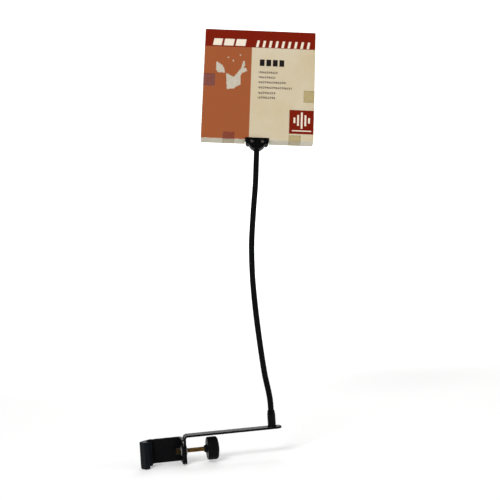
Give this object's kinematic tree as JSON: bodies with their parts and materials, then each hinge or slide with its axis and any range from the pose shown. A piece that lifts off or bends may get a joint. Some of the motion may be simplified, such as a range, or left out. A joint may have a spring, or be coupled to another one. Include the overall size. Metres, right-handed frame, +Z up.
{
  "type": "pop filter",
  "caption": "Gooseneck pop filter with a stand clamp and thumb screw; its round mesh head is kept in a square card box taped round it.",
  "frame": {"origin": "on the axis of the microphone stand tube held by the clamp, at half the height of the clamp strap", "axes": "+Z up along the stand tube, +X along the thumb screw and the arm towards the gooseneck's foot, +Y from the clamp's open side to the back of its strap"},
  "size_m": [0.2359, 0.0943, 0.4782],
  "materials": {
    "black_steel": "semi-gloss black paint with worn edges",
    "gloss_black_steel": "gloss black",
    "neck_steel": "black coated flexible conduit, satin",
    "zinc_steel": "dull zinc plate",
    "bright_rivet": "dark bright rivet heads",
    "yellow_brass": "yellow passivated, slightly dull",
    "knob_plastic": "fine grained black",
    "boot_rubber": "smooth black rubber",
    "bracket_plastic": "moulded black",
    "hoop_plastic": "moulded black",
    "nylon_mesh": "fine knitted nylon",
    "printed_card": "printed face in brown, orange and cream; grey board sides",
    "grey_card": "bare grey board",
    "old_tape": "aged clear adhesive tape, yellowed"
  },
  "bodies": {
    "stand_clamp": {"clamp_strap": "black_steel", "jaw_saddle": "boot_rubber", "arm_bar": "black_steel", "threaded_bush": "zinc_steel", "neck_ferrule": "gloss_black_steel", "ferrule_screw": "zinc_steel", "neck_root": "neck_steel"},
    "screw_tip": {"pressure_tip": "yellow_brass"},
    "screw_and_knob": {"thumb_screw": "yellow_brass", "knob": "knob_plastic"},
    "neck_link_1": {"neck_1": "neck_steel"},
    "neck_link_2": {"neck_2": "neck_steel"},
    "neck_link_3": {"neck_3": "neck_steel"},
    "neck_link_4": {"neck_4": "neck_steel"},
    "neck_link_5": {"neck_5": "neck_steel"},
    "neck_link_6": {"neck_6": "neck_steel"},
    "neck_link_7": {"neck_7": "neck_steel"},
    "filter_head": {"neck_8": "neck_steel", "neck_sleeve": "zinc_steel", "hoop_front": "hoop_plastic", "hoop_rear": "hoop_plastic", "hoop_spacer": "hoop_plastic", "mesh_front": "nylon_mesh", "mesh_rear": "nylon_mesh", "hoop_screws": "zinc_steel", "bracket_front": "bracket_plastic", "bracket_rear": "bracket_plastic", "bracket_rivets": "bright_rivet"},
    "box_lid": {"carton_lid": "printed_card", "tape_left": "old_tape", "tape_right": "old_tape", "tape_bottom_left": "old_tape", "tape_bottom_right": "old_tape"},
    "box_tray": {"carton_tray": "grey_card"}
  },
  "joints": [
    {"name": "tip_travel", "type": "slide", "parent": "stand_clamp", "child": "screw_tip", "axis": [-1, 0, 0], "range_m": [0, 0.018]},
    {"name": "screw_turn", "type": "hinge", "parent": "screw_tip", "child": "screw_and_knob", "pos_m": [0.045, 0, 0], "axis": [-1, 0, 0], "range_deg": [0, 8100]},
    {"name": "neck_bend_1", "type": "hinge", "parent": "stand_clamp", "child": "neck_link_1", "pos_m": [0.1276, 0, 0.041], "axis": [0, 1, 0], "range_deg": [-25, 25]},
    {"name": "neck_bend_2", "type": "hinge", "parent": "neck_link_1", "child": "neck_link_2", "pos_m": [0.1233, 0.0007, 0.075], "axis": [1, 0, 0], "range_deg": [-25, 25]},
    {"name": "neck_bend_3", "type": "hinge", "parent": "neck_link_2", "child": "neck_link_3", "pos_m": [0.1205, 0.0023, 0.11], "axis": [0, 1, 0], "range_deg": [-25, 25]},
    {"name": "neck_bend_4", "type": "hinge", "parent": "neck_link_3", "child": "neck_link_4", "pos_m": [0.1188, 0.005, 0.145], "axis": [1, 0, 0], "range_deg": [-25, 25]},
    {"name": "neck_bend_5", "type": "hinge", "parent": "neck_link_4", "child": "neck_link_5", "pos_m": [0.1186, 0.0086, 0.18], "axis": [0, 1, 0], "range_deg": [-25, 25]},
    {"name": "neck_bend_6", "type": "hinge", "parent": "neck_link_5", "child": "neck_link_6", "pos_m": [0.1209, 0.0132, 0.215], "axis": [1, 0, 0], "range_deg": [-25, 25]},
    {"name": "neck_bend_7", "type": "hinge", "parent": "neck_link_6", "child": "neck_link_7", "pos_m": [0.1262, 0.0189, 0.25], "axis": [0, 1, 0], "range_deg": [-25, 25]},
    {"name": "neck_bend_8", "type": "hinge", "parent": "neck_link_7", "child": "filter_head", "pos_m": [0.13246, 0.02581, 0.28491], "axis": [1, 0, 0], "range_deg": [-25, 25]},
    {"name": "lid_off", "type": "slide", "parent": "filter_head", "child": "box_lid", "axis": [-0.1527, -0.9643, 0.2164], "range_m": [0, 0.06]},
    {"name": "tray_off", "type": "slide", "parent": "filter_head", "child": "box_tray", "axis": [0.1527, 0.9643, -0.2164], "range_m": [0, 0.06]}
  ],
  "couplings": [
    {"joint": "screw_turn", "follows": "tip_travel", "rad_per_m": 7854}
  ]
}
